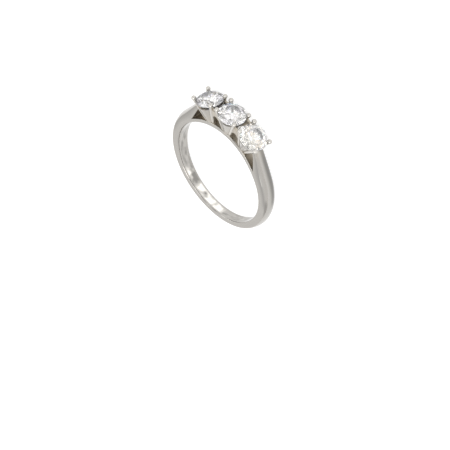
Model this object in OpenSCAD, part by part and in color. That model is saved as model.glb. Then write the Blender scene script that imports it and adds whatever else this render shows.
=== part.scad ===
// Three stone ring: a slim domed band whose raised shoulders and inner rail carry
// three round brilliants, each in a tapered collet with four claws.
// Millimetres. The ring is drawn upright: the finger axis is Y, the stones are at +Z and
// the front faces -Y. It is then laid down on its back side, as it rests by itself, with
// the finger axis up and the stones towards +Y. The origin is the centre of the finger hole.

/* [Finger] */
// Inner diameter of the band
finger_d = 16.9; // [15:0.1:21]
// Length of the straight wall in the middle of the finger hole
hole_flat_w = 1.1; // [0.6:0.1:1.4]
// Radius of the rounding from the straight wall to the sides of the band
hole_flare_r = 0.9; // [0.7:0.05:1.6]

/* [Band] */
// Thickness of the band at the bottom
band_bottom_t = 1.15; // [1:0.05:1.8]
// Thickness of the band at its sides
band_side_t = 1.75; // [1.5:0.05:2.4]
// Width of the band at the bottom
band_bottom_w = 1.7; // [1.6:0.05:2.4]
// Width of the band where the shoulders start
band_shoulder_w = 2.4; // [2:0.05:2.8]
// Radius of the domed outside, seen in section
band_dome_r = 1.5; // [1.45:0.05:3]

/* [Shoulders] */
// Thickness of a shoulder where it meets its collet
shoulder_end_t = 0.8; // [0.6:0.05:1.1]
// How far below the girdle the top line of a shoulder meets its collet
shoulder_end_drop = 1.1; // [0.9:0.05:1.6]
// Angle from the top of the ring at which the opening under a shoulder starts
opening_angle = 45; // [41:1:48]
// Width of a shoulder where it meets its collet
shoulder_end_w = 1.7; // [1.4:0.05:2]

/* [Rail] */
// Thickness of the rail between the finger and the collets
rail_t = 0.7; // [0.5:0.05:1]

/* [Stones] */
// Girdle diameter of each stone
stone_d = 4.25; // [3.8:0.05:4.5]
// Gap between neighbouring girdles
stone_spacing = 0.4; // [0.3:0.05:0.8]
// Height of the girdle plane of the stones above the inside of the band
stone_rise = 4.1; // [3.8:0.05:4.6]
// Table width as a share of the girdle diameter
table_share = 0.57; // [0.53:0.01:0.62]
// Angle of the crown mains
crown_angle = 34.5; // [32:0.5:36]
// Angle of the pavilion mains
pavilion_angle = 40.8; // [39:0.2:42]
// Height of the girdle band
girdle_t = 0.12; // [0.08:0.01:0.2]

/* [Collets] */
// Diameter of a collet at the rail
collet_base_d = 1.9; // [1.6:0.05:2.1]
// Wall of a collet
collet_wall = 0.45; // [0.35:0.05:0.5]
// Drop from the girdle to the rim of a collet
collet_rim_drop = 0.4; // [0.3:0.05:0.7]
// How far the rim of a collet stands inside the girdle
collet_rim_inset = 0.12; // [0.06:0.01:0.2]
// Depth below the girdle of the scallops between the claws
scallop_depth = 0.7; // [0.65:0.05:1.5]
// Clearance between a stone and its metal
stone_gap = 0.03; // [0.02:0.01:0.06]

/* [Claws] */
// Diameter of the claw wire
claw_d = 0.64; // [0.5:0.02:0.8]
// Diameter of the round claw tip
claw_tip_d = 0.74; // [0.6:0.02:0.9]
// Height of the middle of the tip above the girdle
claw_tip_h = 0.42; // [0.3:0.02:0.6]
// How far the middle of the tip stands outside the girdle
claw_tip_out = 0.2; // [0.14:0.02:0.26]
// Angle of the claws from the row of stones
claw_angle = 38.5; // [36:0.5:48]
// How deep the foot of a claw is sunk into its collet
claw_sunk = 0.5; // [0.35:0.01:0.55]

/* [Webs] */
// Thickness of the webs that join the claws of neighbouring stones
web_t = 0.42; // [0.3:0.02:0.56]
// Drop from the girdle to the top of a web
web_drop = 0.05; // [0:0.05:0.4]
// Drop from the girdle to the foot of a web
web_depth = 1.75; // [1.4:0.05:2]
// Radius of the arch under a web
web_arch_r = 0.45; // [0.3:0.05:0.5]

/* [Hidden] */
metal_colour = [0.80, 0.79, 0.77];
stone_colour = [0.93, 0.95, 0.98];
$fn = 96;

// Finger hole and band
hole_r = finger_d / 2;
crest_r = hole_r + band_side_t;
crest_z = band_side_t - band_bottom_t;
rail_r = hole_r + rail_t;

// Stones on an arc round the finger, and the shares that set the corners of their facets
girdle_r = stone_d / 2;
mains = 8;
star_share = 0.78;
lower_half_share = 0.24;
head_r = hole_r + stone_rise;
pitch_angle = 2 * asin((stone_d + stone_spacing) / (2 * head_r));
stone_angles = [-pitch_angle, 0, pitch_angle];

// Collet and claw sizes in the collet's own frame, whose origin is the girdle's centre
collet_base_r = collet_base_d / 2;
collet_depth = head_r - rail_r;
collet_rim_r = girdle_r - collet_rim_inset;
claw_r = claw_d / 2;
claw_tip_r = claw_tip_d / 2;
claw_top_r = girdle_r + claw_tip_out;
claw_foot_r = collet_base_r + claw_r - claw_sunk;
claw_foot_h = -collet_depth - claw_r / 2;

claw_slope = (claw_top_r - claw_foot_r) / (claw_tip_h - claw_foot_h);

// Outer radius of a cup at one height
function cup_r(h) = collet_rim_r + (h + collet_rim_drop) * (collet_rim_r - collet_base_r)
    / (collet_depth - collet_rim_drop);

// Line of the shoulders in the front view: its end point, the point where it leaves the
// round part of the band, its direction, and how far it runs on into the wall of the collet
function turned(x, z, a) = [x * cos(a) + z * sin(a), z * cos(a) - x * sin(a)];
shoulder_end = turned(claw_top_r, head_r - shoulder_end_drop, pitch_angle);
end_from_centre = shoulder_end - [0, crest_z];
end_angle = atan2(end_from_centre[0], end_from_centre[1]);
leave_angle = end_angle + acos(crest_r / norm(end_from_centre));
out_dir = [sin(leave_angle), cos(leave_angle)];
up_dir = [-cos(leave_angle), sin(leave_angle)];
leave_point = [0, crest_z] + crest_r * out_dir;
shoulder_len = norm(shoulder_end - leave_point);
reach_angle = 90 - leave_angle + pitch_angle;
shoulder_over = (claw_top_r - cup_r(-shoulder_end_drop) + collet_wall / 2) / sin(reach_angle);
bottom_z = crest_z - crest_r;

// Axis of a claw beside the gap between two stones, at a height over its own girdle, in a
// frame whose origin is midway between the centres of the two girdles
function claw_axis(h) =
    let (r = claw_top_r + (h - claw_tip_h) * claw_slope,
         place = turned(-r * cos(claw_angle), h, pitch_angle / 2))
    [(stone_d + stone_spacing) / 2 + place[0], r * sin(claw_angle), place[1]];

// The ring rests on the lower edge of the band and on what stands out furthest at the side
// stones, their girdles or their outer claws
bottom_edge_z = bottom_z + band_dome_r - sqrt(pow(band_dome_r, 2) - pow(band_bottom_w / 2, 2));
girdle_rise = [head_r * cos(pitch_angle) - bottom_edge_z, girdle_r - band_bottom_w / 2];
outer_claw = turned(claw_top_r * cos(claw_angle), head_r + claw_tip_h, pitch_angle);
claw_rise = [outer_claw[1] - bottom_edge_z, claw_top_r * sin(claw_angle) - band_bottom_w / 2];
rest_angle = max(atan(girdle_rise[1] / girdle_rise[0]),
                 atan(claw_rise[1] / claw_rise[0]) + asin(claw_tip_r / norm(claw_rise)));

// Round part of the band, a circle set a little higher than the finger hole so that the
// band is thinner at the bottom
module band_round() {
    arc = 360 - 2 * leave_angle;
    translate([0, 0, crest_z])
        rotate([90, 0, 0])
        rotate([0, 0, 90 - leave_angle - arc])
        rotate_extrude(angle = arc)
        translate([crest_r - band_dome_r, 0])
        circle(r = band_dome_r);
}

// Straight part of the band that rises to the right-hand collet, over its opening
module shoulder() {
    start = leave_point - band_dome_r * out_dir;
    clear = 2 * band_dome_r;
    foot = [sin(opening_angle), cos(opening_angle)];
    end = shoulder_end + (shoulder_over + clear) * up_dir;
    under = shoulder_end - shoulder_end_t * out_dir;
    outline = [leave_point + clear * (out_dir - up_dir), end + clear * out_dir,
               under + (shoulder_over + clear) * up_dir, under, rail_r * foot,
               (hole_r - clear) * foot, leave_point - 2 * clear * out_dir - clear * up_dir];
    intersection() {
        translate([start[0], 0, start[1]])
            rotate([0, leave_angle - 90, 0])
            cylinder(r = band_dome_r, h = shoulder_len + shoulder_over);
        rotate([90, 0, 0])
            linear_extrude(2 * clear, center = true)
            polygon(outline);
    }
}

// Ring of the rail, which runs on inside the band
module rail() {
    rotate([90, 0, 0])
        cylinder(r = rail_r, h = 2 * band_shoulder_w, center = true);
}

// Side outline of the band, which sets its width at each height: it widens evenly from the
// bottom to where the shoulders start, and narrows from there to the collets
function width_at(z, z1, w1, z2, w2) = w1 + (w2 - w1) * (z - z1) / (z2 - z1);
module width_outline() {
    low = bottom_z - band_bottom_t;
    mid = leave_point[1];
    high = head_r;
    low_half = width_at(low, bottom_z, band_bottom_w, mid, band_shoulder_w) / 2;
    mid_half = band_shoulder_w / 2;
    high_half = width_at(high, mid, band_shoulder_w, shoulder_end[1], shoulder_end_w) / 2;
    rotate([90, 0, 90])
        linear_extrude(4 * crest_r, center = true)
        polygon([[-low_half, low], [low_half, low], [mid_half, mid], [high_half, high],
                 [-high_half, high], [-mid_half, mid]]);
}

// Finger hole: a straight wall in the middle that rounds off towards both sides
module finger_hole() {
    flare_r = hole_r + hole_flare_r;
    long = 2 * band_shoulder_w;
    rotate([90, 0, 0]) {
        cylinder(r = hole_r, h = 2 * long, center = true, $fn = 180);
        for (side = [0, 1])
            mirror([0, 0, side])
                rotate_extrude($fn = 180)
                difference() {
                    translate([0, hole_flat_w / 2]) square([flare_r, long]);
                    translate([flare_r, hole_flat_w / 2]) circle(r = hole_flare_r);
                }
    }
}

// Places its children at each stone's girdle, in the frame of that stone
module at_stone(angle) {
    rotate([0, angle, 0])
        translate([0, 0, head_r])
        children();
}

// Tapered cup of a collet with a scallop between each two claws
module cup() {
    foot_h = -collet_depth - rail_t / 2;
    difference() {
        rotate_extrude()
            polygon([[0, foot_h], [collet_base_r, foot_h], [collet_base_r, -collet_depth],
                     [collet_rim_r, -collet_rim_drop], [0, -collet_rim_drop]]);
        for (turn = [0, 90])
            rotate([90, 0, turn])
                cylinder(r = scallop_depth, h = 3 * stone_d, center = true);
    }
}

// One claw: a straight wire up the outside of the cup with a round tip over the girdle
module claw() {
    lean = atan((claw_top_r - claw_foot_r) / (claw_tip_h - claw_foot_h));
    len = norm([claw_top_r - claw_foot_r, claw_tip_h - claw_foot_h]);
    translate([claw_foot_r, 0, claw_foot_h])
        rotate([0, lean, 0])
        cylinder(r = claw_r, h = len, $fn = 48);
    translate([claw_top_r, 0, claw_tip_h])
        sphere(r = claw_tip_r, $fn = 48);
}

// Cup and claws of one collet
module collet() {
    cup();
    for (a = [claw_angle, 180 - claw_angle, 180 + claw_angle, -claw_angle])
        rotate([0, 0, a])
            claw();
}

// Web that joins two neighbouring claws behind the gap between their stones
module web() {
    high = claw_axis(-web_drop);
    low = claw_axis(-web_depth);
    lean = atan((high[1] - low[1]) / (high[2] - low[2]));
    tall = norm([high[1] - low[1], high[2] - low[2]]);
    translate([0, low[1], low[2]])
        rotate([90 - lean, 0, 0])
        linear_extrude(web_t, center = true)
        difference() {
            polygon([[-low[0], 0], [low[0], 0], [high[0], tall], [-high[0], tall]]);
            circle(r = web_arch_r);
        }
}

// Webs behind and in front of the gap at one angle from the top
module webs(angle) {
    rotate([0, angle, 0])
        translate([0, 0, head_r * cos(pitch_angle / 2)])
        for (side = [0, 1])
            mirror([0, side, 0])
                web();
}

// Room for a stone and the hollow of the cup under it
module stone_seat() {
    wide = girdle_r + stone_gap;
    low = -girdle_t / 2 - stone_gap;
    high = girdle_t / 2 + stone_gap;
    tip = low - wide * tan(pavilion_angle);
    above = 2 * stone_d;
    table_r = wide - (crown_height() + stone_gap) / tan(crown_angle);
    inner_base_r = collet_base_r - collet_wall;
    inner_rim_r = collet_rim_r - collet_wall;
    rotate_extrude() {
        polygon([[0, tip], [wide, low], [wide, high], [table_r, high + crown_height() + stone_gap],
                 [0, above]]);
        polygon([[0, -collet_depth], [inner_base_r, -collet_depth],
                 [inner_rim_r, -collet_rim_drop], [0, -collet_rim_drop]]);
    }
}

// All the soldered metal: band, shoulders, rail and the three collets
module band_and_setting() {
    color(metal_colour)
        lie_down()
        difference() {
            union() {
                intersection() {
                    union() {
                        band_round();
                        shoulder();
                        mirror([1, 0, 0]) shoulder();
                        rail();
                    }
                    width_outline();
                }
                for (a = stone_angles)
                    at_stone(a) collet();
                for (a = [-pitch_angle / 2, pitch_angle / 2])
                    webs(a);
            }
            finger_hole();
            for (a = stone_angles)
                at_stone(a) stone_seat();
        }
}

function crown_height() = girdle_r * (1 - table_share) * tan(crown_angle);

// Points on a circle of n places at one height, turned by a share of a step
function rim(n, r, h, shift = 0) = [for (i = [0 : n - 1])
    let (a = (i + shift) * 360 / n) [r * cos(a), r * sin(a), h]];

// Round brilliant: table, stars, kites and upper halves above the girdle, and lower halves
// and eight mains below it. Its facets are the faces of the hull of these corners.
module brilliant() {
    kite_cos = cos(180 / mains);
    top = girdle_t / 2 + crown_height();
    table_r = girdle_r * table_share;
    star_r = girdle_r * star_share;
    star_h = top - (star_r * kite_cos - table_r) * tan(crown_angle);
    tip_h = -girdle_t / 2 - girdle_r * tan(pavilion_angle);
    half_r = girdle_r * lower_half_share;
    half_h = tip_h + half_r * kite_cos * tan(pavilion_angle);
    corners = concat(rim(mains, table_r, top), rim(mains, star_r, star_h, 0.5),
                     rim(2 * mains, girdle_r, girdle_t / 2),
                     rim(2 * mains, girdle_r, -girdle_t / 2),
                     rim(mains, half_r, half_h, 0.5), [[0, 0, tip_h]]);
    hull()
        polyhedron(corners, [[for (i = [0 : len(corners) - 1]) i]]);
}

module stone(angle) {
    color(stone_colour)
        lie_down()
        at_stone(angle)
        brilliant();
}

module left_stone() {
    stone(-pitch_angle);
}

module middle_stone() {
    stone(0);
}

module right_stone() {
    stone(pitch_angle);
}

// Lays the upright ring on its back side and tips it to its resting angle
module lie_down() {
    rotate([rest_angle - 90, 0, 0])
        children();
}

band_and_setting();
left_stone();
middle_stone();
right_stone();
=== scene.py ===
"""Three stone ring: a slim domed band with open shoulders, and round brilliants in claw collets.

The ring is worked out upright, with the finger axis along Y, the stones at +Z and the front at -Y,
and every finished mesh is then laid down on its back side, as the ring rests by itself.
"""
from math import acos, asin, atan, atan2, cos, hypot, pi, radians, sin, sqrt, tan

import bmesh
import bpy
import numpy as np
from mathutils import Matrix, Vector


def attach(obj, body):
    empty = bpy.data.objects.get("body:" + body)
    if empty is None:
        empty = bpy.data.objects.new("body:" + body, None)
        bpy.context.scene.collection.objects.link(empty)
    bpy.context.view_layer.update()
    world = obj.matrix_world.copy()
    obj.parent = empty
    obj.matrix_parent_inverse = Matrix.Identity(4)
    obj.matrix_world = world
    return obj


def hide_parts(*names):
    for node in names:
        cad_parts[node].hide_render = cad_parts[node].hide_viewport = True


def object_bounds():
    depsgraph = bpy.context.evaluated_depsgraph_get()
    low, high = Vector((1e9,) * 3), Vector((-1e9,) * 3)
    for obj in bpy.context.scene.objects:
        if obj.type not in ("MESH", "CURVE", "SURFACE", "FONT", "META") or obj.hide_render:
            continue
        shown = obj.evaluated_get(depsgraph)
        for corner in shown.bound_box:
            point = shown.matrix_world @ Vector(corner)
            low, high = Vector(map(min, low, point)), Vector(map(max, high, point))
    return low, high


bl_info = {
    "name": "Three Stone Ring",
    "version": (1, 0, 0),
    "blender": (4, 5, 0),
    "location": "View3D > Sidebar > Ring",
    "description": "Builds a three stone ring with claw collets, its stones, finishes and studio",
    "category": "Object",
}

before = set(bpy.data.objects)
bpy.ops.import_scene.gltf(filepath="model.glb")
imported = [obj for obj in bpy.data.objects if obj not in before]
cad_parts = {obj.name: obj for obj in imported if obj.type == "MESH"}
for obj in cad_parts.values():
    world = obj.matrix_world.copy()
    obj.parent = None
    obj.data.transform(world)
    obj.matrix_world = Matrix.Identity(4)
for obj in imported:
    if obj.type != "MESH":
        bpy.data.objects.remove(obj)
cad_low, cad_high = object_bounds()
METAL_SLOT, STONE_SLOT = "polished_white_metal", "colourless_stone"
MM = 0.001
METAL_NODE = "band_and_setting"
STONE_PLACES = (("left_stone", -1), ("middle_stone", 0), ("right_stone", 1))


def length(name, description, default_mm):
    """A length property whose default is given in millimetres."""
    return bpy.props.FloatProperty(name=name, description=description, default=default_mm * MM,
                                   min=0.0, precision=5, unit="LENGTH")


def angle(name, description, default_deg):
    """An angle property whose default is given in degrees."""
    return bpy.props.FloatProperty(name=name, description=description,
                                   default=radians(default_deg), subtype="ANGLE")


def factor(name, description, default):
    """A share from 0 to 1."""
    return bpy.props.FloatProperty(name=name, description=description, default=default,
                                   min=0.0, max=1.0, subtype="FACTOR")


def tint(name, description, default):
    """A colour property."""
    return bpy.props.FloatVectorProperty(name=name, description=description, default=default,
                                         size=3, min=0.0, max=1.0, subtype="COLOR")


# Sizes and finishes that a user would change

class BandSizes(bpy.types.PropertyGroup):
    """Sizes of the band, its shoulders and the rail under the head."""

    finger_d: length("Finger hole", "Inner diameter of the band", 16.9)
    flat_w: length("Straight wall", "Straight wall in the middle of the finger hole", 1.1)
    flare_r: length("Hole rounding", "Rounding from the straight wall to the sides", 0.9)
    bottom_t: length("Thickness at the bottom", "Thickness of the band at the bottom", 1.15)
    side_t: length("Thickness at the sides", "Thickness of the band at its sides", 1.75)
    bottom_w: length("Width at the bottom", "Width of the band at the bottom", 1.7)
    shoulder_w: length("Width at the shoulders", "Width where the shoulders start", 2.4)
    dome_r: length("Dome radius", "Radius of the domed outside in section", 1.5)
    end_t: length("Shoulder end thickness", "Thickness of a shoulder at its collet", 0.8)
    end_drop: length("Shoulder end drop", "Drop of the shoulder's end below the girdle", 1.1)
    end_w: length("Shoulder end width", "Width of a shoulder at its collet", 1.7)
    opening: angle("Opening angle", "Angle from the top at which a shoulder's opening starts", 45.0)
    rail_t: length("Rail thickness", "Thickness of the rail under the collets", 0.7)
    edge: length("Edge rounding", "Rounding of the edges after polishing", 0.12)
    blend: length("Width blend", "How softly the band turns at its widest place", 0.12)


class HeadSizes(bpy.types.PropertyGroup):
    """Sizes of the stones, their collets and their claws."""

    stone_d: length("Stone diameter", "Girdle diameter of each stone", 4.25)
    spacing: length("Stone spacing", "Gap between neighbouring girdles", 0.4)
    rise: length("Stone rise", "Height of the girdles above the inside of the band", 4.1)
    table: factor("Table", "Table width as a share of the girdle", 0.57)
    crown: angle("Crown angle", "Angle of the crown mains", 34.5)
    pavilion: angle("Pavilion angle", "Angle of the pavilion mains", 40.8)
    girdle_t: length("Girdle", "Height of the girdle band", 0.12)
    base_d: length("Collet base", "Diameter of a collet at the rail", 1.9)
    wall: length("Collet wall", "Wall of a collet", 0.45)
    rim_drop: length("Collet rim drop", "Drop from the girdle to the rim", 0.4)
    rim_inset: length("Collet rim inset", "How far the rim stands inside the girdle", 0.12)
    scallop: length("Scallop depth", "Depth of the scallops below the girdle", 0.7)
    gap: length("Stone clearance", "Clearance between a stone and its metal", 0.03)
    claw_d: length("Claw wire", "Diameter of the claw wire", 0.64)
    tip_d: length("Claw tip", "Diameter of the round claw tip", 0.74)
    tip_h: length("Claw tip height", "Height of the tip above the girdle", 0.42)
    tip_out: length("Claw tip outset", "How far the tip stands outside the girdle", 0.2)
    claw_angle: angle("Claw angle", "Angle of the claws from the row of stones", 38.5)
    claw_sunk: length("Claw root depth", "How deep a claw's foot is sunk into its collet", 0.5)
    web_t: length("Web thickness", "Thickness of the web between neighbouring claws", 0.42)
    web_drop: length("Web drop", "Drop from the girdle to the top of a web", 0.05)
    web_depth: length("Web depth", "Drop from the girdle to the foot of a web", 1.75)
    web_arch: length("Web arch", "Radius of the arch under a web", 0.45)


class Finishes(bpy.types.PropertyGroup):
    """Colours and polish of the metal and the stones, and the colour of the painted shade under the
    head.
    """

    metal: tint("Metal", "Colour of the polished white metal", (0.41, 0.396, 0.373))
    # painted shade: the colour the metal is darkened to deep under the head, where shade falls
    recess: tint("Recess", "Colour of the metal deep under the head", (0.47, 0.425, 0.355))
    stone: tint("Stone", "Colour of the colourless stones", (0.98, 0.975, 0.965))
    roughness: factor("Polish", "Roughness of the polished metal", 0.12)
    # strength of the painted coloured flashes
    fire: factor("Fire", "Strength of the coloured flashes in the stones", 0.45)


class StudioSettings(bpy.types.PropertyGroup):
    """Camera, floor and light of the studio."""

    lens: bpy.props.FloatProperty(name="Lens", description="Focal length of the camera in mm",
                                  default=150.54, min=1.0)
    distance: length("Camera distance", "Distance from the finger hole to the camera", 279.33)
    floor: length("Floor", "Width of the pale floor", 6000.0)
    floor_tint: tint("Floor colour", "Colour of the pale floor", (0.36, 0.36, 0.36))
    floor_glow: factor("Floor glow", "Light that the table under the ring gives off", 0.8)


# Derived sizes, as the metal and the stones share them

class Plan:
    """Points and lengths of the upright ring that follow from its sizes, in metres."""

    def __init__(self, scene):
        b, h = scene.ring_band, scene.ring_head
        self.band, self.head = b, h
        self.hole_r = b.finger_d / 2
        self.crest_r = self.hole_r + b.side_t
        self.centre = np.array((0.0, b.side_t - b.bottom_t))
        self.rail_r = self.hole_r + b.rail_t
        self.girdle_r = h.stone_d / 2
        self.head_r = self.hole_r + h.rise
        self.pitch = 2 * asin((h.stone_d + h.spacing) / (2 * self.head_r))
        self.base_r = h.base_d / 2
        self.depth = self.head_r - self.rail_r
        self.rim_r = self.girdle_r - h.rim_inset
        self.claw_r, self.tip_r = h.claw_d / 2, h.tip_d / 2
        self.claw_top_r = self.girdle_r + h.tip_out
        self.claw_foot = (self.base_r + self.claw_r - h.claw_sunk, -self.depth - self.claw_r / 2)
        self.shoulder_end = self.from_collet(self.claw_top_r, -b.end_drop)
        to_end = self.shoulder_end - self.centre
        self.leave = atan2(to_end[0], to_end[1]) + acos(self.crest_r / hypot(*to_end))
        self.out = np.array((sin(self.leave), cos(self.leave)))
        self.up = np.array((-cos(self.leave), sin(self.leave)))
        self.leave_point = self.centre + self.crest_r * self.out
        self.shoulder_len = hypot(*(self.shoulder_end - self.leave_point))
        self.bottom_z = float(self.centre[1]) - self.crest_r
        edge_z = self.bottom_z + b.dome_r - sqrt(b.dome_r ** 2 - (b.bottom_w / 2) ** 2)
        self.rest = atan((self.girdle_r - b.bottom_w / 2)
                         / (self.head_r * cos(self.pitch) - edge_z))

    def from_collet(self, out, height):
        """Front view point of a place in the right-hand collet's own frame."""
        rise = self.head_r + height
        return np.array((out * cos(self.pitch) + rise * sin(self.pitch),
                         rise * cos(self.pitch) - out * sin(self.pitch)))

    def on_shoulder(self, up):
        """Front view point of the outside's crest at a distance up the straight shoulder."""
        return self.leave_point + up * self.up

    def half_width(self, z):
        """Half the band's width at a height: widest where the shoulders start."""
        b = self.band
        low, mid, high = self.bottom_z, self.leave_point[1], self.shoulder_end[1]
        rising = (b.bottom_w + (b.shoulder_w - b.bottom_w) * (z - low) / (mid - low)) / 2
        falling = (b.shoulder_w + (b.end_w - b.shoulder_w) * (z - mid) / (high - mid)) / 2
        near = max(0.0, 1 - abs(rising - falling) / b.blend)
        return min(rising, falling) - near ** 2 * b.blend / 4

    def dome_drop(self, y):
        """Drop of the domed outside from its crest at a distance from the middle."""
        return self.band.dome_r - sqrt(self.band.dome_r ** 2 - y ** 2)

    def hole_radius(self, y):
        """Radius of the finger hole at a distance from the middle of the band."""
        over = max(0.0, abs(y) - self.band.flat_w / 2)
        return self.hole_r + self.band.flare_r - sqrt(self.band.flare_r ** 2 - over ** 2)

    def cup_radius(self, height):
        """Outer radius of a collet at a height in its own frame."""
        slope = (self.rim_r - self.base_r) / (self.depth - self.head.rim_drop)
        return self.rim_r + (height + self.head.rim_drop) * slope

    def seat_radius(self, height):
        """Radius that a stone and its clearance take up at a height in the collet's frame."""
        edge = self.head.girdle_t / 2 + self.head.gap
        side = self.head.crown if height > 0 else self.head.pavilion
        return self.girdle_r + self.head.gap - max(0.0, abs(height) - edge) / tan(side)

    def laid_down(self):
        """Matrix that lays the upright ring on its back side and tips it to its rest."""
        return Matrix.Rotation(self.rest - pi / 2, 4, "X")


def ramp(value, low, high):
    """Smooth step from 0 at low to 1 at high."""
    share = min(1.0, max(0.0, (value - low) / (high - low)))
    return share * share * (3 - 2 * share)


def at(r, turn, height):
    """Point at a radius, an angle and a height in a collet's frame."""
    return Vector((r * cos(turn), r * sin(turn), height))


# Meshes

class Shell:
    """Collects the vertices and faces of one closed mesh.

    Each vertex has four marks from 0 to 1 for the look of the metal: painted shade where it lies
    deep under the head, how far it is inside the finger hole, a painted dark reflection on the
    outside, and a painted highlight.
    """

    def __init__(self):
        self.points, self.faces = [], []
        self.marks = {"recess": [], "bore": [], "worn": [], "shine": []}

    def add(self, points, recess=0.0, bore=0.0, worn=0.0, shine=0.0):
        """Adds a row of points and returns their numbers. Each mark is one value or a list."""
        start = len(self.points)
        self.points += [tuple(p) for p in points]
        for values, given in zip(self.marks.values(), (recess, bore, worn, shine)):
            values += [given] * len(points) if isinstance(given, float) else given
        return list(range(start, start + len(points)))

    def bridge(self, *rows):
        """Joins each closed row with the next one, of equal length, with quads."""
        for first, second in zip(rows, rows[1:]):
            for i in range(len(first)):
                j = (i + 1) % len(first)
                self.faces.append((first[i], first[j], second[j], second[i]))

    def fan(self, row, tip, recess=0.0):
        """Closes a round row with triangles to one new point."""
        end, = self.add([tip], recess)
        for i, a in enumerate(row):
            self.faces.append((a, row[(i + 1) % len(row)], end))

    def mesh(self, name, matrix=None):
        """The mesh with its faces turned outwards and its marks kept as attributes."""
        mesh = bpy.data.meshes.new(name)
        mesh.from_pydata(self.points, [], self.faces)
        for mark, values in self.marks.items():
            mesh.attributes.new(mark, "FLOAT", "POINT").data.foreach_set("value", values)
        bm = bmesh.new()
        bm.from_mesh(mesh)
        bmesh.ops.recalc_face_normals(bm, faces=bm.faces)
        for face in bm.faces:
            face.smooth = True
        bm.to_mesh(mesh)
        bm.free()
        if matrix is not None:
            mesh.transform(matrix)
        mesh.update()
        return mesh


def mark_sharp(mesh, limit, ends, reach):
    """Marks the outward edges that are sharper than a limit, for the bevel to round.

    The marks fade within a reach of the ends, where two rounded edges run into one corner.
    """
    bm = bmesh.new()
    bm.from_mesh(mesh)
    sharp = []
    for edge in bm.edges:
        middle = (edge.verts[0].co + edge.verts[1].co) / 2
        near = min((middle - end).length for end in ends)
        outward = edge.is_convex and edge.calc_face_angle() > limit
        sharp.append(ramp(near, 0, reach) if outward else 0.0)
    bm.free()
    marks = mesh.attributes.new("bevel_weight_edge", "FLOAT", "EDGE")
    marks.data.foreach_set("value", sharp)


def add_object(name, data):
    """Adds an object to the scene."""
    added = bpy.data.objects.new(name, data)
    bpy.context.scene.collection.objects.link(added)
    return added


def put(name, mesh, material, slot, *nodes):
    """Makes a piece from a finished mesh and ties it to the frame."""
    piece = add_object(name, mesh)
    mesh.materials.clear()
    mesh.materials.append(material)
    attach(piece, "root")
    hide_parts(*nodes)
    return piece


def ring_metal():
    """The one material of all the metal pieces."""
    return shared_material("ring_metal", metal_sockets, bpy.context.scene.ring_finish)


def put_metal(name, mesh):
    """Makes a piece of the soldered metal."""
    return put(name, mesh, ring_metal(), METAL_SLOT, METAL_NODE)


def polish(piece, width, segments=2, marked=False):
    """Rounds a piece's edges: those that are marked, or else those sharper than 40 degrees."""
    bevel = piece.modifiers.new("Polished edges", "BEVEL")
    bevel.width = width
    bevel.segments = segments
    bevel.limit_method = "WEIGHT" if marked else "ANGLE"
    bevel.angle_limit = radians(40)
    bevel.harden_normals = True


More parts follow.
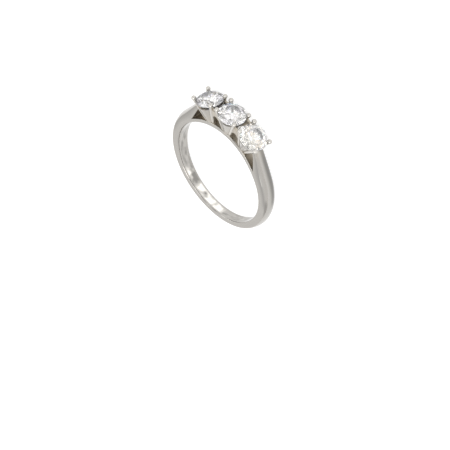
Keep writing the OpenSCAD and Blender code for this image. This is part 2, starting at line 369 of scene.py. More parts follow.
class Shank:
    """Band, shoulders and rail as one closed mesh that forks where each opening starts.

    Its rows of points run across the band, and a fork has an outer, a middle and an inner row.
    Crests and points are those of the front view. The three row methods return a row's numbers.
    """

    across, under, inside = 17, 7, 15  # points across the outside, an underside and the hole
    shoulder_steps, straight_steps, arc_steps, rail_steps = 22, 6, 150, 64
    settling = 3  # rounds that find the band's half width at an edge
    sliding, stride = 30, 0.6  # rounds that find a collet's wall, and the share of the way of each

    def __init__(self, plan):
        self.plan, self.shell = plan, Shell()
        self.fork = self.rail_point(plan.band.opening)
        self.fork_up = float((self.fork - plan.leave_point) @ plan.up)
        self.hollow = [0.1] + [1.0] * (self.under - 2) + [0.1]  # in shade but for its edges
        self.in_hole = [1 - ramp(abs(y), 0.5, 0.8) for y in np.linspace(-1, 1, self.inside)]

    def rail_point(self, phi):
        """Front view point of the rail's outside at an angle from the top."""
        return self.plan.rail_r * np.array((sin(phi), cos(phi)))

    def outer_row(self, crest, normal, side=1, at_end=False, recess=0.0):
        """Adds a domed row across the outside through its crest."""
        plan = self.plan
        half = plan.half_width(crest[1])
        for _ in range(self.settling):
            half = plan.half_width(crest[1] - plan.dome_drop(half) * normal[1])
        row = []
        for y in np.linspace(half, -half, self.across):
            x, z = crest - plan.dome_drop(y) * normal
            row.append((x, y, z))
        row = self.placed(row, side, at_end)
        return self.shell.add(row, recess, worn=[self.dark_reflection_share(y / half, z) for _, y, z in row])

    def flat_row(self, point, side=1, at_end=False):
        """Adds a straight row across the band."""
        half = self.plan.half_width(point[1])
        row = [(point[0], y, point[1]) for y in np.linspace(-half, half, self.under)]
        return self.shell.add(self.placed(row, side, at_end), self.hollow)

    def inner_row(self, phi, order=1):
        """Adds a row across the finger hole at an angle from the top. Order -1 turns it round."""
        half = self.plan.half_width(self.plan.hole_r * cos(phi))
        row = []
        for y in np.linspace(-half, half, self.inside):
            r = self.plan.hole_radius(y)
            row.append((r * sin(phi), y, r * cos(phi)))
        return self.shell.add(row[::order], bore=self.in_hole)

    def placed(self, row, side, at_end):
        """The row on its side of the ring, slid into the collet's wall at the shoulder's end."""
        if at_end:
            row = [self.slid(*point) for point in row]
        return [(x * side, y, z) for x, y, z in row]

    def slid(self, start_x, y, start_z):
        """Place further up the shoulder where a point is inside the wall of the collet."""
        plan, step = self.plan, 0.0
        for _ in range(self.sliding):
            x, z = start_x + step * plan.up[0], start_z + step * plan.up[1]
            out = x * cos(plan.pitch) - z * sin(plan.pitch)
            height = x * sin(plan.pitch) + z * cos(plan.pitch) - plan.head_r
            height = min(height, -plan.head.rim_drop)
            miss = hypot(out, y) - (plan.cup_radius(height) - plan.head.wall / 2)
            step += miss * self.stride
        return x, y, z

    def dark_reflection_share(self, across, z):
        """Painted dark reflection on the outside: on the shoulders, the back half and, less, the
        front edge.
        """
        back, front = ramp(across, -0.3, 0.3), ramp(-across, 0.8, 1.0)
        return max(back, 0.6 * front) * ramp(z / self.plan.hole_r, 0, 0.3)

    def shoulder(self, side):
        """Adds a shoulder from its fork up to its collet, and returns the fork's rows."""
        plan = self.plan
        outer = self.outer_row(plan.on_shoulder(self.fork_up), plan.out, side)
        middle = self.flat_row(self.fork, side)
        inner = self.inner_row(side * plan.band.opening)
        under_end = plan.shoulder_end - plan.band.end_t * plan.out
        rows = [outer + middle]
        for k in range(1, self.shoulder_steps + 1):
            share = k / self.shoulder_steps
            up = self.fork_up + (plan.shoulder_len - self.fork_up) * k / self.shoulder_steps
            low = self.fork + (under_end - self.fork) * share
            at_end = k == self.shoulder_steps
            # painted shade, growing towards the collet
            shade = 0.25 * share ** 4  # darker towards the collet
            over = self.outer_row(plan.on_shoulder(up), plan.out, side, at_end, shade)
            rows.append(over + self.flat_row(low, side, at_end))
        self.shell.bridge(*rows)
        self.shell.faces.append(tuple(rows[-1]))
        return outer, middle, inner

    def stations(self):
        """Crests of the outside and their normals, from the right fork to the left one."""
        plan = self.plan
        leaving, bottom = [], []
        for k in range(1, self.straight_steps):
            up = self.fork_up * (1 - k / self.straight_steps)
            leaving.append((plan.on_shoulder(up), plan.out))
        for k in range(self.arc_steps + 1):
            turn = plan.leave + (2 * pi - 2 * plan.leave) * k / self.arc_steps
            normal = np.array((sin(turn), cos(turn)))
            bottom.append((plan.centre + plan.crest_r * normal, normal))
        flip = np.array((-1.0, 1.0))
        arriving = [(crest * flip, normal * flip) for crest, normal in reversed(leaving)]
        return leaving + bottom + arriving

    def hoop(self, right, left):
        """Adds the band itself, from the right fork round the bottom to the left one."""
        plan, add = self.plan, self.shell.add
        fork_crest = plan.on_shoulder(self.fork_up)
        lag = atan2(fork_crest[0], fork_crest[1]) - plan.band.opening
        rows = []
        for crest, normal in self.stations():
            polar = atan2(crest[0], crest[1]) % (2 * pi)
            behind = lag * abs(cos(polar / 2)) ** 3  # the inside lags the outside near a fork
            phi = polar - behind if polar < pi else polar + behind
            mid = self.rail_point(phi)
            edge = plan.half_width(mid[1])
            rows.append(self.outer_row(crest, normal) + add([(mid[0], -edge, mid[1])])
                        + self.inner_row(phi) + add([(mid[0], edge, mid[1])]))
        first, last = [outer + [middle[0]] + inner + [middle[-1]]
                       for outer, middle, inner in (right, left)]
        self.shell.bridge(first, *rows, last)

    def rail(self, right, left):
        """Adds the rail, from the right fork over the top to the left one."""
        rows = []
        for k in range(1, self.rail_steps):
            phi = self.plan.band.opening * (1 - 2 * k / self.rail_steps)
            rows.append(self.flat_row(self.rail_point(phi)) + self.inner_row(phi, order=-1))
        first, last = [middle + inner[::-1] for _, middle, inner in (right, left)]
        self.shell.bridge(first, *rows, last)

    def fork_corners(self):
        """Corners of the laid ring where the shoulders leave the rail."""
        x, z = self.fork
        half = self.plan.half_width(z)
        return [self.plan.laid_down() @ Vector((side * x, y, z))
                for side in (-1, 1) for y in (-half, half)]

    def mesh(self):
        """The whole mesh, laid down."""
        right, left = self.shoulder(1), self.shoulder(-1)
        self.hoop(right, left)
        self.rail(right, left)
        return self.shell.mesh("band", self.plan.laid_down())


def cup_mesh(plan):
    """One tapered collet in its own frame: hollow, with a scallop between each two claws."""
    head, shell = plan.head, Shell()
    turns, rings = 120, 14  # points round the collet and rows up each wall
    foot_h = -plan.depth - plan.band.rail_t / 2
    inner_base = plan.base_r - head.wall
    inner_rim = plan.rim_r - head.wall
    claws = [head.claw_angle, pi - head.claw_angle, pi + head.claw_angle, 2 * pi - head.claw_angle]
    angles = [2 * pi * i / turns for i in range(turns)]

    def rim_height(phi):
        """Height of the scalloped rim, full beside each claw and lowest midway."""
        near = min(abs((phi - claw + pi) % (2 * pi) - pi) for claw in claws)
        on_row = abs(cos(phi)) > cos(head.claw_angle)
        wide = head.claw_angle if on_row else pi / 2 - head.claw_angle
        dip = sqrt(1 - (1 - min(1.0, near / wide)) ** 2)
        return -head.rim_drop - (head.scallop - head.rim_drop) * dip ** 1.5

    def outer_radius(height):
        return plan.cup_radius(height) if height > -plan.depth else plan.base_r

    def inner_radius(height):
        lean = (inner_rim - inner_base) / (plan.depth - head.rim_drop)
        return max(inner_base + (height + plan.depth) * lean, plan.seat_radius(height))

    def wall(foot, radius):
        """Rows of points from a wall's foot up to the rim. radius() gives its radius at a height."""
        rows = []
        for k in range(rings):
            heights = [foot + (rim_height(phi) - foot) * (k / (rings - 1)) for phi in angles]
            rows.append([at(radius(height), phi, height) for phi, height in zip(angles, heights)])
        return rows

    # painted shade: the outside is darker low down and towards the neighbouring collets, and the
    # inside and both feet are shaded as well
    sideways = [abs(cos(phi)) ** 3 for phi in angles]
    outer = []
    for k, row in enumerate(wall(foot_h, outer_radius)):
        low = 1 - k / (rings - 1)
        outer.append(shell.add(row, [low ** 1.6 * 0.65 + 0.25 * side for side in sideways]))
    inner = [shell.add(row, 0.3) for row in wall(-plan.depth, inner_radius)]
    shell.bridge(*outer)
    shell.bridge(outer[-1], inner[-1])
    shell.bridge(*inner)
    shell.fan(inner[0], (0, 0, -plan.depth), 0.9)
    shell.fan(outer[0], (0, 0, foot_h), 0.9)
    return shell.mesh("cup")


def claw_mesh(plan):
    """One claw in the collet's frame: a wire up the cup, notched for the girdle, with a bead."""
    head, shell = plan.head, Shell()
    foot = Vector((plan.claw_foot[0], 0, plan.claw_foot[1]))
    bead = Vector((plan.claw_top_r, 0, head.tip_h))
    along = (bead - foot).normalized()
    side = Vector((0, 1, 0))
    face = side.cross(along)
    span = (bead - foot).length
    turns, steps, bead_steps = 48, 80, 18  # points round the wire, rows up it and up its bead
    tuck = plan.tip_r * 0.15  # how far the bead's underside is drawn down the wire
    neck = span - sqrt(max(0.0, plan.tip_r ** 2 - plan.claw_r ** 2)) - tuck
    apart = 0.001 * MM  # keeps the bead's first rows from falling together at the neck
    stations = [(foot + along * (neck * k / steps), plan.claw_r) for k in range(steps + 1)]
    for k in range(1, bead_steps):
        a = pi * k / bead_steps
        swell = plan.tip_r * sin(a)
        place = span - plan.tip_r * cos(a)
        if a < pi / 2:
            swell = max(swell, plan.claw_r)
            place = max(place, neck + apart * k)
        stations.append((foot + along * place, swell))
    rows = []
    for centre, r in stations:
        row = []
        for i in range(turns):
            a = 2 * pi * i / turns
            p = centre + (face * cos(a) + side * sin(a)) * r
            out = hypot(p.x, p.y)
            clear = plan.seat_radius(p.z)
            if 0 < out < clear:
                p.x, p.y = p.x * clear / out, p.y * clear / out
            row.append(p)
        up = max(0.0, (centre.z + plan.depth) / plan.depth)
        # painted shade low down on the wire and at its foot, and a painted highlight all along it
        rows.append(shell.add(row, 0.6 * max(0.0, 1 - up) ** 2, shine=1.0))
    shell.bridge(*rows)
    shell.fan(rows[0], foot, 0.6)
    shell.fan(rows[-1], bead + along * plan.tip_r)
    return shell.mesh("claw")


def web_meshes(plan):
    """Webs that join the neighbouring claws in front of and behind each gap between stones."""
    head, half_pitch = plan.head, plan.pitch / 2
    slope = (plan.claw_top_r - plan.claw_foot[0]) / (head.tip_h - plan.claw_foot[1])
    beside = (head.stone_d + head.spacing) / 2

    def claw_axis(height):
        """Place of a claw's axis in the frame of the gap, at a height over the girdle."""
        r = plan.claw_top_r + (height - head.tip_h) * slope
        along = -r * cos(head.claw_angle)
        return Vector((beside + along * cos(half_pitch) + height * sin(half_pitch),
                       r * sin(head.claw_angle),
                       height * cos(half_pitch) - along * sin(half_pitch)))

    def clear_of_stone(p):
        """Moves a point outwards until it is outside the room of both stones."""
        x = beside - abs(p.x)
        along = x * cos(half_pitch) + p.z * sin(half_pitch)
        height = p.z * cos(half_pitch) - x * sin(half_pitch)
        clear = plan.seat_radius(height)
        if clear > 0 and hypot(along, p.y) < clear and along < clear:
            p.y = max(p.y, sqrt(clear ** 2 - along ** 2))
        return p

    high, low = claw_axis(-head.web_drop), claw_axis(-head.web_depth)
    normal = Vector((0, high.z - low.z, low.y - high.y)).normalized()
    columns, levels = 25, 8
    # painted shade on the webs: full on the face towards the gap, less on the face away from it
    deep = [0.7] * levels + [1.0] * levels  # the face away from the gap and the face towards it

    def web(gap, side):
        """The web at the left or right gap, in front of it or behind it."""
        shell, rows = Shell(), []
        for share in np.linspace(-1, 1, columns):
            arch = sqrt(max(0.0, 1 - (abs(share) * low.x / head.web_arch) ** 2))
            lift = head.web_arch * arch / (high.z - low.z)
            dip = head.web_t / 2 * (1 - share ** 2) / (high.z - low.z)
            row = []
            for up in np.linspace(1 - dip, lift, levels):
                p = low.lerp(high, up)
                p.x *= share
                row.append(p)
            ring = [p + normal * head.web_t / 2 for p in row]
            ring += [p - normal * head.web_t / 2 for p in reversed(row)]
            ring = [clear_of_stone(p) for p in ring]
            rows.append(shell.add([(p.x, side * p.y, p.z) for p in ring], deep))
        shell.bridge(*rows)
        shell.faces += [tuple(rows[0]), tuple(rows[-1])]
        place = (plan.laid_down() @ Matrix.Rotation(gap * half_pitch, 4, "Y")
                 @ Matrix.Translation((0, 0, plan.head_r * cos(half_pitch))))
        return shell.mesh("web", place)

    return [web(gap, side) for gap in (-1, 1) for side in (-1, 1)]


def joined(name, meshes):
    """One mesh from several."""
    bm = bmesh.new()
    for mesh in meshes:
        bm.from_mesh(mesh)
        bpy.data.meshes.remove(mesh)
    whole = bpy.data.meshes.new(name)
    bm.to_mesh(whole)
    bm.free()
    return whole


STAR_TIPS, LOWER_TIPS = 0.78, 0.24  # where these facets end, as shares of the girdle


def facet_planes(plan, top, tip):
    """A point and the outward normal of each facet of a brilliant, with its table first."""
    head, girdle_r, half = plan.head, plan.girdle_r, plan.head.girdle_t / 2
    table_r, star_r, low_r = (girdle_r * share for share in (head.table, STAR_TIPS, LOWER_TIPS))
    kite, step = cos(pi / 8), pi / 4
    star_h = top - (star_r * kite - table_r) * tan(head.crown)
    low_h = tip + low_r * kite * tan(head.pavilion)
    planes = [(at(0, 0, top), Vector((0, 0, 1)))]
    for k in range(8):
        main, before, mid, after = (step * turn for turn in (k, k - 0.5, k + 0.5, k + 1))
        table, star, low = at(table_r, main, top), at(star_r, mid, star_h), at(low_r, mid, low_h)
        corners = [(table, at(star_r, before, star_h), star), (table, at(table_r, after, top), star)]
        for point, edge in ((star, half), (low, -half)):
            first, second, third = (at(girdle_r, turn, edge) for turn in (main, mid, after))
            corners += [(point, first, second), (point, second, third)]
        corners.append((at(0, 0, tip), at(low_r, before, low_h), low))
        for p, q, r in corners:
            normal = (q - p).cross(r - p).normalized()
            if normal.dot((p + q + r) / 3 - at(0, 0, (top + tip) / 2)) < 0:
                normal = -normal
            planes.append((p, normal))
    return planes


def brilliant_mesh(plan, name, place):
    """Round brilliant cut from a round blank: each facet is one plane that trims the blank."""
    head, girdle_r = plan.head, plan.girdle_r
    top = head.girdle_t / 2 + girdle_r * (1 - head.table) * tan(head.crown)
    tip = -head.girdle_t / 2 - girdle_r * tan(head.pavilion)
    bm = bmesh.new()
    bmesh.ops.create_cone(bm, cap_ends=True, segments=96, radius1=girdle_r, radius2=girdle_r,
                          depth=2 * (top - tip))
    for point, normal in facet_planes(plan, top, tip):
        everything = bm.verts[:] + bm.edges[:] + bm.faces[:]
        cut = bmesh.ops.bisect_plane(bm, geom=everything, dist=1e-9, plane_co=point,
                                     plane_no=normal, clear_outer=True)
        edges = [e for e in cut["geom_cut"] if isinstance(e, bmesh.types.BMEdge)]
        bmesh.ops.holes_fill(bm, edges=[e for e in edges if e.is_boundary], sides=0)
    bmesh.ops.remove_doubles(bm, verts=bm.verts, dist=1e-8)
    bmesh.ops.dissolve_limit(bm, angle_limit=radians(0.2), verts=bm.verts, edges=bm.edges)
    bmesh.ops.recalc_face_normals(bm, faces=bm.faces)
    mesh = bpy.data.meshes.new(name)
    bm.to_mesh(mesh)
    bm.free()
    mark_facets(mesh, place)
    turn = Matrix.Rotation(place * plan.pitch, 4, "Y")
    mesh.transform(plan.laid_down() @ turn @ Matrix.Translation((0, 0, plan.head_r)))
    return mesh


FACET_SEED = 41
# painted reflections: each back facet draws a painted shade, and each front facet gets one at random
BACK_SHADES = (1.0, 1.0, 1.0, 0.95, 1.0, 1.0, 0.68, 1.0, 1.0, 0.88)  # a back facet draws one
FRONT_SHADES = (0.92, 1.0)  # a front facet's shade lies between these
GIRDLE_TILT, TABLE_TILT = 0.1, 0.99  # a girdle face's normal rises less, the table's more


def mark_facets(mesh, place):
    """Gives each facet its own painted shade, a painted reflection, and marks the back facets that
    mirror the light.
    """
    random = np.random.default_rng(FACET_SEED + place)
    back, shade = np.zeros(len(mesh.loops)), np.ones(len(mesh.loops))

    def order(face):
        return round(face.normal.z, 2), round(atan2(face.center.y, face.center.x), 2)

    for face in sorted(mesh.polygons, key=order):
        loops = list(face.loop_indices)
        if face.normal.z < -GIRDLE_TILT:
            back[loops] = 1.0
            shade[loops] = random.choice(BACK_SHADES)
        elif GIRDLE_TILT < face.normal.z < TABLE_TILT:
            shade[loops] = random.uniform(*FRONT_SHADES)
    mesh.attributes.new("back", "FLOAT", "CORNER").data.foreach_set("value", back)
    mesh.attributes.new("shade", "FLOAT", "CORNER").data.foreach_set("value", shade)


# Node trees

WHITE = (1.0, 1.0, 1.0)
# noises on the metal: waves per metre, detail
WIPES, PITS, GRAIN = (420.0, 3.0), (2600.0, 4.0), (9000.0, 2.0)
STREAKS, PATCHES = (2200.0, 2.0), (460.0, 2.0)
# tones of the metal, as shares of its colour: wiped, a painted dark reflection, a painted highlight,
# and in the finger hole streaks and painted reflection patches
WIPED, DARK_REFLECTION, HIGHLIGHT_TONE = 0.84, 0.45, 1.3
STREAK_TONES, PATCH_TONES = (1.06, 0.54), (2.2, 0.58)
# the hole's painted reflection patches, in mm: how far below its axis they start and over what
# length they grow, then how far to its right they end and over what length they fade
PATCHES_FROM, PATCHES_RISE, PATCHES_TO, PATCHES_FALL = 4.4, 1.6, 1.9, 0.8


class Wire:
    """An output socket that adds Math nodes when it is used in an expression."""

    def __init__(self, tree, socket):
        self.tree, self.socket = tree, socket

    def math(self, operation, *others, clamp=False):
        """A Math node with this value and others."""
        inputs = dict(enumerate((self, *others)))
        return self.tree.node("ShaderNodeMath", inputs, operation=operation, use_clamp=clamp)

    def clamped(self):
        """The value held between 0 and 1."""
        return self.math("ADD", 0.0, clamp=True)

    def __add__(self, other):
        return self.math("ADD", other)

    def __sub__(self, other):
        return self.math("SUBTRACT", other)

    def __rsub__(self, other):
        return self * -1.0 + other

    def __mul__(self, other):
        return self.math("MULTIPLY", other)

    def __truediv__(self, other):
        return self.math("DIVIDE", other)

    def __rtruediv__(self, other):
        return self.math("POWER", -1.0) * other

    __radd__ = __add__
    __rmul__ = __mul__


class Tree:
    """A node tree that is written with calls: any node comes from node()."""

    def __init__(self, nodes_tree):
        self.tree = nodes_tree
        self.tree.nodes.clear()

    def node(self, kind, inputs=None, out=0, **settings):
        """Adds a node, makes its settings first, then fills its sockets by name or number."""
        made = self.tree.nodes.new(kind)
        for key, value in settings.items():
            if key == "stops":
                elements = made.color_ramp.elements
                while len(elements) < len(value):
                    elements.new(0.5)
                for element, (position, colour) in zip(elements, value):
                    element.position, element.color = position, rgba(colour)
            else:
                setattr(made, key, value)
        for key, value in (inputs or {}).items():
            socket = made.inputs[key]
            if isinstance(value, Wire):
                self.tree.links.new(value.socket, socket)
            else:
                socket.default_value = value
        return Wire(self, made.outputs[out]) if len(made.outputs) else None

    def mix(self, share, first, second):
        """Mixes two colours by a share."""
        return self.node("ShaderNodeMix", {0: share, 6: first, 7: second}, 2, data_type="RGBA")

    def mark(self, name):
        """A mark that is written on the mesh."""
        return self.node("ShaderNodeAttribute", out="Fac", attribute_name=name)

    def noise(self, place, scale, detail):
        """Noise with a scale in waves per metre."""
        return self.node("ShaderNodeTexNoise", {"Vector": place, "Scale": scale, "Detail": detail})


def rgba(colour, share=1.0):
    """A colour for a socket, darker or brighter by a share."""
    return (*(c * share for c in colour), 1.0)


def shared_material(name, sockets, finish):
    """The scene's one material of that name, made the first time it is asked for.

    sockets(tree, place, finish) makes its nodes and returns what its shader's sockets get.
    """
    material = bpy.data.materials.get(name)
    if not material:
        material = bpy.data.materials.new(name)
        material.use_nodes = True
        t = Tree(material.node_tree)
        place = t.node("ShaderNodeTexCoord", out="Object")
        shader = t.node("ShaderNodeBsdfPrincipled", sockets(t, place, finish))
        t.node("ShaderNodeOutputMaterial", {"Surface": shader})
    return material


def metal_sockets(t, place, finish):
    """Polished white metal: fine pits and wipes, and painted shade, dark reflections, highlights and
    reflection patches that follow the mesh's marks.
    """

    def toned(share):
        return rgba(finish.metal, share)

    def changed(operation, vector):
        """The place on the piece, multiplied by a vector or moved by it."""
        return t.node("ShaderNodeVectorMath", {0: place, 1: vector}, "Vector",
                      operation=operation)

    wipes, pits, grain = (t.noise(place, *kind) for kind in (WIPES, PITS, GRAIN))
    shade = t.mix((wipes - 0.5) * 0.35 + 0.18, toned(1.0), toned(WIPED))
    # inside the finger hole: streaks that run round it, partly polish marks and partly painted
    # reflection, and painted bright and dull reflection patches at its bottom
    streaks = t.noise(changed("MULTIPLY", (0.25, 0.25, 1.0)), *STREAKS)
    patches = t.noise(changed("ADD", (0.0, 0.0, 4 * MM)), *PATCHES)
    below = t.node("ShaderNodeSeparateXYZ", {"Vector": place}, "Y") * (-1 / MM)
    aside = t.node("ShaderNodeSeparateXYZ", {"Vector": place}, "X") * (1 / MM)
    bottom = ((below - PATCHES_FROM) / PATCHES_RISE).clamped()
    bottom = bottom * ((PATCHES_TO - aside) / PATCHES_FALL).clamped()
    streaky = t.mix(((streaks - 0.42) * 3.0).clamped(), *map(toned, STREAK_TONES))
    patchy = t.mix(((patches - 0.47) * 7.0).clamped(), *map(toned, PATCH_TONES))
    shade = t.mix(t.mark("bore"), shade, t.mix(bottom, streaky, patchy))
    # painted dark reflection on the outside of the band
    shade = t.mix(t.mark("worn") * 0.9, shade, toned(DARK_REFLECTION))
    # painted highlight on the claws
    shade = t.mix(t.mark("shine"), shade, toned(HIGHLIGHT_TONE))
    # painted shade deep under the head, in the recess colour
    deep = t.mark("recess")
    colour = t.mix((deep * (0.85 + wipes * 0.3)).clamped(), shade, rgba(finish.recess))
    rough = (wipes - 0.5) * 0.10 + (pits - 0.5) * 0.05 + finish.roughness + deep * 0.3
    bump = t.node("ShaderNodeBump", {"Strength": 0.25, "Distance": 0.004 * MM,
                                     "Height": grain * 0.5 + pits})
    return {"Base Color": colour, "Roughness": rough, "Metallic": 1.0, "Normal": bump}


def stone_sockets(t, place, finish):
    """Colourless stone: clear, with back facets that mirror the light, facets darkened by painted
    reflections, and painted coloured flashes.
    """
    # painted coloured flashes on the back facets, in place of the stone's fire
    cells = t.node("ShaderNodeTexVoronoi", {"Vector": place, "Scale": 1500.0}, "Color")
    hue = t.node("ShaderNodeSeparateColor", {"Color": cells})
    fleck = t.node("ShaderNodeValToRGB", {"Fac": hue}, stops=(
        (0.0, (0.2, 0.8, 0.9)), (0.04, WHITE), (0.12, WHITE), (0.2, (0.84, 0.81, 1.0)),
        (0.3, WHITE), (0.46, WHITE), (0.50, (1.0, 0.84, 0.62)), (0.54, WHITE), (0.78, WHITE),
        (0.82, (1.0, 0.97, 0.82)), (0.86, WHITE), (0.93, WHITE), (1.0, (0.35, 0.45, 1.0))))
    back = t.mark("back")
    lit = t.mix(back * finish.fire, rgba(finish.stone), fleck)
    # painted reflections: a facet with a low shade is darkened
    colour = t.mix(1.0 - t.mark("shade"), lit, rgba((0.10, 0.095, 0.10)))
    return {"Base Color": colour, "Metallic": back * 0.9, "Roughness": back * 0.12, "IOR": 2.418,
            "Transmission Weight": 1.0}


def floor_sockets(t, place, settings):
    """Pale matt floor with a faint mottle."""
    mottle = t.noise(place, 30.0, 2.0)
    colour = t.mix((mottle - 0.5) * 0.1 + 0.05, rgba(settings.floor_tint),
                   rgba(settings.floor_tint, 0.95))
    return {"Base Color": colour, "Roughness": 0.6, "Specular IOR Level": 0.1,
            "Emission Color": rgba(WHITE), "Emission Strength": settings.floor_glow}


def head_tree(name, given, count):
    """Geometry Nodes that set copies of a piece round each stone's axis and along the head.

    given has the kind of each input, in the order in which they are unpacked below. The copies
    round a stone stand at the first turn, the second, and the same two turned half round.
    """
    tree = bpy.data.node_groups.new(name + "_on_head", "GeometryNodeTree")
    tree.interface.new_socket("Geometry", in_out="INPUT", socket_type="NodeSocketGeometry")
    for label, (kind, _) in given.items():
        tree.interface.new_socket(label, in_out="INPUT", socket_type="NodeSocket" + kind)
    tree.interface.new_socket("Geometry", in_out="OUTPUT", socket_type="NodeSocketGeometry")
    t = Tree(tree)
    radius, pitch, first_turn, second_turn, rest, one, finish = (
        t.node("NodeGroupInput", out=label) for label in given)

    def line(length):
        return t.node("GeometryNodeMeshLine", {"Count": length, "Offset": (0.0, 0.0, 0.0)})

    def xyz(x=0.0, y=0.0, z=0.0):
        return t.node("ShaderNodeCombineXYZ", {0: x, 1: y, 2: z})

    def copies(points, instance, rotation):
        return t.node("GeometryNodeInstanceOnPoints", {
            "Points": points, "Instance": instance, "Rotation": rotation})

    piece = t.node("GeometryNodeObjectInfo", {"Object": one}, "Geometry")
    index = t.node("GeometryNodeInputIndex")
    second = index.math("MODULO", 2.0)
    sign = 1.0 - index.math("GREATER_THAN", 1.5) * 2.0
    turn = (first_turn * (1.0 - second) + second_turn * second) * sign
    round_stone = copies(line(count), piece, xyz(z=turn))
    along = (index - 1.0) * pitch
    at_stone = xyz(along.math("SINE") * radius, z=along.math("COSINE") * radius)
    stones = t.node("GeometryNodeSetPosition", {
        "Geometry": line(len(STONE_PLACES)), "Position": at_stone})
    solid = t.node("GeometryNodeRealizeInstances", {
        "Geometry": copies(stones, round_stone, xyz(y=along))})
    laid = t.node("GeometryNodeTransform", {"Geometry": solid, "Rotation": xyz(rest - pi / 2)})
    done = t.node("GeometryNodeSetMaterial", {"Geometry": laid, "Material": finish})
    t.node("NodeGroupOutput", {"Geometry": done})
    return tree


def spread_on_head(name, mesh, plan, turns, material):
    """One plain mesh of the copies of a mesh round each stone, at the given angles."""
    part = bpy.data.objects.new(name + "_one", mesh)
    given = {"Head Radius": ("Float", plan.head_r), "Pitch Angle": ("Float", plan.pitch),
             "First Turn": ("Float", turns[0]), "Second Turn": ("Float", turns[1 % len(turns)]),
             "Rest Angle": ("Float", plan.rest), "Piece": ("Object", part),
             "Finish": ("Material", material)}
    tree = head_tree(name, given, len(turns))
    holder = add_object(name + "_source", bpy.data.meshes.new(name + "_source"))
    modifier = holder.modifiers.new("Head", "NODES")
    modifier.node_group = tree
    for item in tree.interface.items_tree:
        if item.in_out == "INPUT" and item.name in given:
            modifier[item.identifier] = given[item.name][1]
    holder.update_tag()
    evaluated = holder.evaluated_get(bpy.context.evaluated_depsgraph_get())
    result = bpy.data.meshes.new_from_object(evaluated)
    result.name = name
    holder.modifiers.remove(modifier)
    bpy.data.objects.remove(holder)
    bpy.data.objects.remove(part)
    return result


# Operators

class RING_OT_band(bpy.types.Operator):
    """Make the band with its shoulders and the rail under the head"""

    bl_idname = "ring.band"
    bl_label = "Band and Shoulders"

    def execute(self, context):
        plan = Plan(context.scene)
        shank = Shank(plan)
        mesh = shank.mesh()
        mark_sharp(mesh, limit=radians(30), ends=shank.fork_corners(), reach=0.8 * MM)
        polish(put_metal("band", mesh), plan.band.edge, segments=5, marked=True)
        return {"FINISHED"}


class RING_OT_collets(bpy.types.Operator):
    """Set a tapered collet under each stone"""

    bl_idname = "ring.collets"
    bl_label = "Collets"

    def execute(self, context):
        plan = Plan(context.scene)
        mesh = spread_on_head("collets", cup_mesh(plan), plan, (0.0,), ring_metal())
        polish(put_metal("collets", mesh), plan.band.edge / 3)
        return {"FINISHED"}


class RING_OT_claws(bpy.types.Operator):
    """Set four claws round each stone"""

    bl_idname = "ring.claws"
    bl_label = "Claws"

    def execute(self, context):
        plan = Plan(context.scene)
        first = plan.head.claw_angle
        turns = (first, pi - first, -first, first - pi)
        put_metal("claws", spread_on_head("claws", claw_mesh(plan), plan, turns, ring_metal()))
        return {"FINISHED"}


class RING_OT_webs(bpy.types.Operator):
    """Join the neighbouring claws with webs in front and behind"""

    bl_idname = "ring.webs"
    bl_label = "Webs"

    def execute(self, context):
        plan = Plan(context.scene)
        webs = put_metal("webs", joined("webs", web_meshes(plan)))
        polish(webs, plan.band.edge * 0.4)
        return {"FINISHED"}


class RING_OT_stones(bpy.types.Operator):
    """Cut the three round brilliants"""

    bl_idname = "ring.stones"
    bl_label = "Stones"

    def execute(self, context):
        plan = Plan(context.scene)
        stone = shared_material("ring_stone", stone_sockets, context.scene.ring_finish)
        for node, place in STONE_PLACES:
            mesh = brilliant_mesh(plan, node + "_cut", place)
            put(node + "_cut", mesh, stone, STONE_SLOT, node)
        return {"FINISHED"}


class RING_OT_stage(bpy.types.Operator):
    """Lay the pale floor and set the lights and the camera"""

    bl_idname = "ring.stage"
    bl_label = "Studio"

    def execute(self, context):
        scene, settings = context.scene, context.scene.ring_studio
        half, z = settings.floor / 2, cad_low.z
        corners = [(-half, -half, z), (half, -half, z), (half, half, z), (-half, half, z)]
        mesh = bpy.data.meshes.new("floor")
        mesh.from_pydata(corners, [], [(0, 1, 2, 3)])
        floor = add_object("floor", mesh)
        mesh.materials.append(shared_material("pale_floor", floor_sockets, settings))
        set_lights()
        set_world(scene)
        set_camera(scene, settings, Plan(scene))
        scene.view_settings.view_transform = "Standard"
        return {"FINISHED"}


LIGHTS = (
    # name, azimuth and elevation in degrees, distance, size, power, colour
    ("key", 100.0, 55.0, 0.45, 0.16, 0.30, (1.0, 0.985, 0.96)),
    ("fill", -120.0, 40.0, 0.5, 0.2, 0.16, (0.96, 0.98, 1.0)),
    ("top", 150.0, 85.0, 0.45, 0.2, 0.16, WHITE),
)


def set_lights():
    """Soft area lights that look at the ring."""
    for name, azimuth, elevation, distance, size, power, colour in LIGHTS:
        data = bpy.data.lights.new(name, "AREA")
        data.shape, data.size, data.energy, data.color = "DISK", size, power, colour
        light = add_object(name, data)
        away = sky(azimuth, elevation)
        light.location = away * distance
        light.rotation_euler = away.to_track_quat("Z", "Y").to_euler()


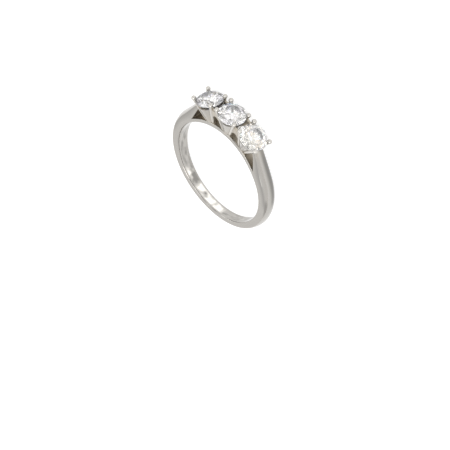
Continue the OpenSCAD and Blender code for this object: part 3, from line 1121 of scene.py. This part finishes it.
FLAGS = (
    # azimuth and elevation in degrees, radius in degrees, depth
    (40.0, 12.0, 10.0, 0.40), (140.0, 12.0, 13.0, 0.60), (172.0, 38.0, 12.0, 0.60),
    (205.0, 14.0, 15.0, 0.80), (232.0, 45.0, 12.0, 0.80), (262.0, 16.0, 14.0, 0.75),
    (120.0, 62.0, 11.0, 0.70), (185.0, 70.0, 10.0, 0.70),
)
LAMPS = (
    # azimuth and elevation in degrees, radius in degrees, strength
    (118.0, 40.0, 8.0, 2.8), (150.0, 24.0, 6.0, 2.5), (163.0, 55.0, 8.0, 2.2),
    (196.0, 27.0, 7.0, 2.2), (218.0, 58.0, 6.0, 2.2), (240.0, 26.0, 6.0, 2.1),
    (186.0, 8.0, 5.0, 2.5), (128.0, 8.0, 5.0, 2.5), (280.0, 42.0, 4.0, 3.0),
    (75.0, 48.0, 5.0, 0.6),
)
# share of a flag's radius that is fully dark, width of its soft edge, strength of all flags
FLAG_CORE, FLAG_EDGE, FLAG_DEPTH = 0.6, 14.0, 0.8
LAMP_EDGE, WALL_STRENGTH = 1.0, 1.3


def sky(azimuth, elevation):
    """Direction of a place in the studio from the ring."""
    a, e = radians(azimuth), radians(elevation)
    return Vector((sin(a) * cos(e), -cos(a) * cos(e), sin(e)))


def set_world(scene):
    """Pale studio walls with soft dark flags and small lamps that the ring mirrors."""
    world = bpy.data.worlds.new("studio")
    world.use_nodes = True
    scene.world = world
    t = Tree(world.node_tree)
    towards = t.node("ShaderNodeTexCoord", out="Generated")
    height = t.node("ShaderNodeSeparateXYZ", {"Vector": towards}, "Z")

    def spot(azimuth, elevation, radius, soft):
        """1 inside a round place on the walls and 0 outside it, with a soft edge."""
        near = t.node("ShaderNodeVectorMath", {0: towards, 1: sky(azimuth, elevation)}, "Value",
                      operation="DOT_PRODUCT")
        return t.node("ShaderNodeMapRange", {
            "Value": near, "From Min": cos(radians(radius + soft)),
            "From Max": cos(radians(radius))}, interpolation_type="SMOOTHSTEP")

    shade = t.node("ShaderNodeValToRGB", {"Fac": height}, stops=(
        (0.0, (0.98, 0.97, 0.96)), (0.3, (0.92, 0.91, 0.90)), (0.6, (0.98, 0.98, 0.98)),
        (1.0, WHITE)))
    shown = 1.0
    for azimuth, elevation, radius, depth in FLAGS:
        flag = spot(azimuth, elevation, radius * FLAG_CORE, FLAG_EDGE)
        shown = (1.0 - flag * depth * FLAG_DEPTH) * shown
    bright = 0.0
    for azimuth, elevation, radius, strength in LAMPS:
        bright = spot(azimuth, elevation, radius, LAMP_EDGE) * strength + bright
    light = t.node("ShaderNodeBackground", {
        "Color": shade, "Strength": shown * WALL_STRENGTH + bright})
    t.node("ShaderNodeOutputWorld", {"Surface": light})


PHOTO_ANGLES = (38.43, 50.02, 10.24)  # turn, tilt and roll of the camera round the upright ring
PHOTO_AIM = (0.00143, -0.02927)  # picture centre, right and up from the finger hole's centre


def set_camera(scene, settings, plan):
    """Camera at the photograph's angle to the ring, aimed at the middle of its frame."""
    turn, tilt, roll = map(radians, PHOTO_ANGLES)
    right = Vector((cos(turn), sin(turn), 0))
    up = Vector((-sin(turn) * sin(tilt), cos(turn) * sin(tilt), cos(tilt)))
    back = Vector((sin(turn) * cos(tilt), -cos(turn) * cos(tilt), sin(tilt)))
    across = right * cos(roll) + up * sin(roll)
    upward = up * cos(roll) - right * sin(roll)
    lay = plan.laid_down().to_3x3()
    across, upward, back = lay @ across, lay @ upward, lay @ back
    look = (-back + across * PHOTO_AIM[0] + upward * PHOTO_AIM[1]).normalized()
    upward = (upward - look * upward.dot(look)).normalized()
    across = look.cross(upward)
    data = bpy.data.cameras.new("camera")
    data.lens, data.sensor_width = settings.lens, 36.0
    data.clip_start, data.clip_end = 0.01, 20.0
    camera = add_object("camera", data)
    basis = Matrix((across, upward, -look)).transposed()
    camera.matrix_world = Matrix.Translation(back * settings.distance) @ basis.to_4x4()
    scene.camera = camera


class RING_PT_panel(bpy.types.Panel):
    """Lists the ring's pieces and its sizes"""

    bl_idname = "RING_PT_panel"
    bl_label = "Three Stone Ring"
    bl_space_type = "VIEW_3D"
    bl_region_type = "UI"
    bl_category = "Ring"

    def draw(self, context):
        for operator in OPERATORS:
            self.layout.operator(operator.bl_idname)
        for group in GROUPS:
            box = self.layout.box()
            settings = getattr(context.scene, group)
            for key in settings.__annotations__:
                box.prop(settings, key)


OPERATORS = (RING_OT_band, RING_OT_collets, RING_OT_claws, RING_OT_webs, RING_OT_stones,
             RING_OT_stage)
GROUPS = {"ring_band": BandSizes, "ring_head": HeadSizes, "ring_finish": Finishes,
          "ring_studio": StudioSettings}


def register():
    for cls in (*GROUPS.values(), *OPERATORS, RING_PT_panel):
        bpy.utils.register_class(cls)
    for name, group in GROUPS.items():
        setattr(bpy.types.Scene, name, bpy.props.PointerProperty(type=group))


def unregister():
    for name in GROUPS:
        delattr(bpy.types.Scene, name)
    for cls in (RING_PT_panel, *reversed(OPERATORS), *reversed(GROUPS.values())):
        bpy.utils.unregister_class(cls)


def main():
    register()
    bpy.ops.ring.band()
    bpy.ops.ring.collets()
    bpy.ops.ring.claws()
    bpy.ops.ring.webs()
    bpy.ops.ring.stones()
    bpy.ops.ring.stage()
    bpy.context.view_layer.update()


if __name__ == "__main__":
    main()
